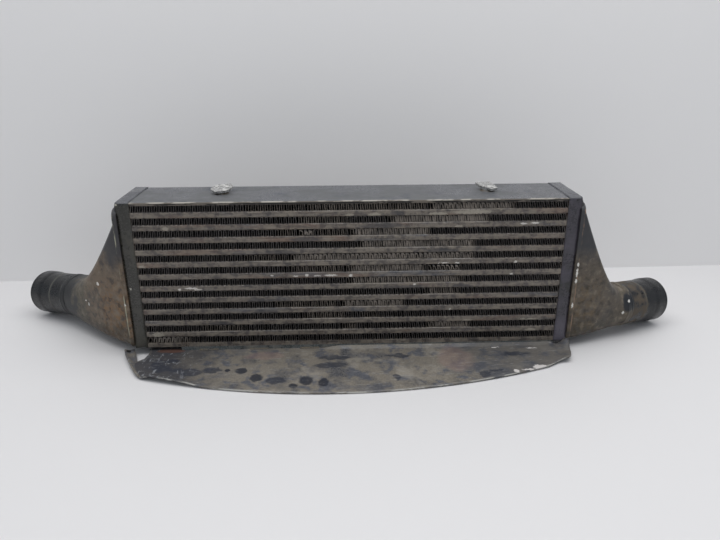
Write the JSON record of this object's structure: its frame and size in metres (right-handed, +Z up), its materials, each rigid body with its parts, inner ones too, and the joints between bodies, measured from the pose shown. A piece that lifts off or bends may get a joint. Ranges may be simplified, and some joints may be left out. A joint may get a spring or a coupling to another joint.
{
  "type": "intercooler",
  "caption": "Bar-and-plate charge-air cooler: finned core between two swept cast end tanks with round hose pipes, broken mounting stubs on top and a bowed air guide in front.",
  "frame": {"origin": "middle of the core's underside", "axes": "+X along the core to the right-hand tank seen from the front, +Y from the front face to the back, +Z up"},
  "size_m": [0.9789, 0.3005, 0.2281],
  "materials": {
    "top_plate_paint": "black paint worn to blue-grey, satin",
    "bar_aluminium": "brazed aluminium under brown road dirt",
    "fin_aluminium": "thin corrugated aluminium, dirty",
    "turbulator_aluminium": "thin corrugated aluminium",
    "bottom_plate_paint": "black paint under road dirt",
    "tank_paint": "black paint on cast aluminium, olive-brown dirt, chipped",
    "pipe_paint": "satin black paint on aluminium tube",
    "weld_bead": "painted weld",
    "stub_aluminium": "broken and smeared bare aluminium",
    "guide_paint": "black paint under brown dust, scraped bare along the nose"
  },
  "bodies": {
    "root": {"air_fin_01": "fin_aluminium", "air_fin_02": "fin_aluminium", "air_fin_03": "fin_aluminium", "air_fin_04": "fin_aluminium", "air_fin_05": "fin_aluminium", "air_fin_06": "fin_aluminium", "air_fin_07": "fin_aluminium", "air_fin_08": "fin_aluminium", "air_fin_09": "fin_aluminium", "air_fin_10": "fin_aluminium", "air_fin_11": "fin_aluminium", "air_fin_12": "fin_aluminium", "charge_tube_01": "bar_aluminium", "charge_tube_02": "bar_aluminium", "charge_tube_03": "bar_aluminium", "charge_tube_04": "bar_aluminium", "charge_tube_05": "bar_aluminium", "charge_tube_06": "bar_aluminium", "charge_tube_07": "bar_aluminium", "charge_tube_08": "bar_aluminium", "charge_tube_09": "bar_aluminium", "charge_tube_10": "bar_aluminium", "charge_tube_11": "bar_aluminium", "turbulator_01": "turbulator_aluminium", "turbulator_02": "turbulator_aluminium", "turbulator_03": "turbulator_aluminium", "turbulator_04": "turbulator_aluminium", "turbulator_05": "turbulator_aluminium", "turbulator_06": "turbulator_aluminium", "turbulator_07": "turbulator_aluminium", "turbulator_08": "turbulator_aluminium", "turbulator_09": "turbulator_aluminium", "turbulator_10": "turbulator_aluminium", "turbulator_11": "turbulator_aluminium", "left_end_bars": "bar_aluminium", "right_end_bars": "bar_aluminium", "core_top_plate": "top_plate_paint", "core_bottom_plate": "bottom_plate_paint", "left_tank": "tank_paint", "left_pipe": "pipe_paint", "left_core_seam": "tank_paint", "left_pipe_weld": "weld_bead", "left_mounting_stub": "stub_aluminium", "left_stub_weld": "weld_bead", "right_tank": "tank_paint", "right_pipe": "pipe_paint", "right_core_seam": "tank_paint", "right_pipe_weld": "weld_bead", "right_mounting_stub": "stub_aluminium", "right_stub_weld": "weld_bead", "guide_strip": "bottom_plate_paint", "air_guide": "guide_paint", "guide_tacks": "weld_bead"}
  },
  "joints": []
}
